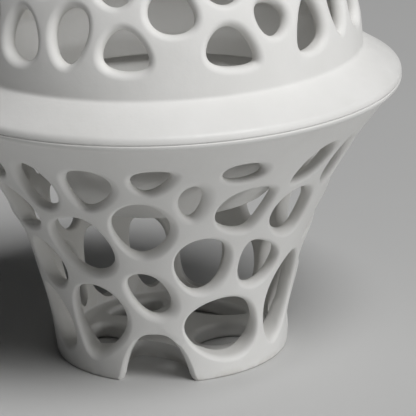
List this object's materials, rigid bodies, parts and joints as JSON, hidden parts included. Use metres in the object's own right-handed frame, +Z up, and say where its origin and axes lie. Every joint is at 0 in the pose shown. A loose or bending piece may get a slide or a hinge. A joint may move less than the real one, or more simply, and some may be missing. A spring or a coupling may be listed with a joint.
{
  "type": "lidded sake cup",
  "caption": "Matte white openwork sake cup: flared pierced holder, plain inner cup hung in its mouth, and a lift-off lid with a sloping brim and pierced dome.",
  "frame": {"origin": "centre of the foot, on the table", "axes": "+Z up along the cup's axis, -Y towards the viewer of the picture (the side with the arched opening in the foot), +X to the viewer's right"},
  "size_m": [0.07, 0.07, 0.0762],
  "materials": {
    "bisque": "matte, unglazed white"
  },
  "bodies": {
    "holder": {"holder": "bisque"},
    "inner_cup": {"inner_cup": "bisque"},
    "lid": {"lid": "bisque"}
  },
  "joints": [
    {"name": "inner_cup_lift", "type": "slide", "parent": "holder", "child": "inner_cup", "axis": [0, 0, 1], "range_m": [0, 0.025]},
    {"name": "lid_lift", "type": "slide", "parent": "inner_cup", "child": "lid", "axis": [0, 0, 1], "range_m": [0, 0.03]}
  ]
}
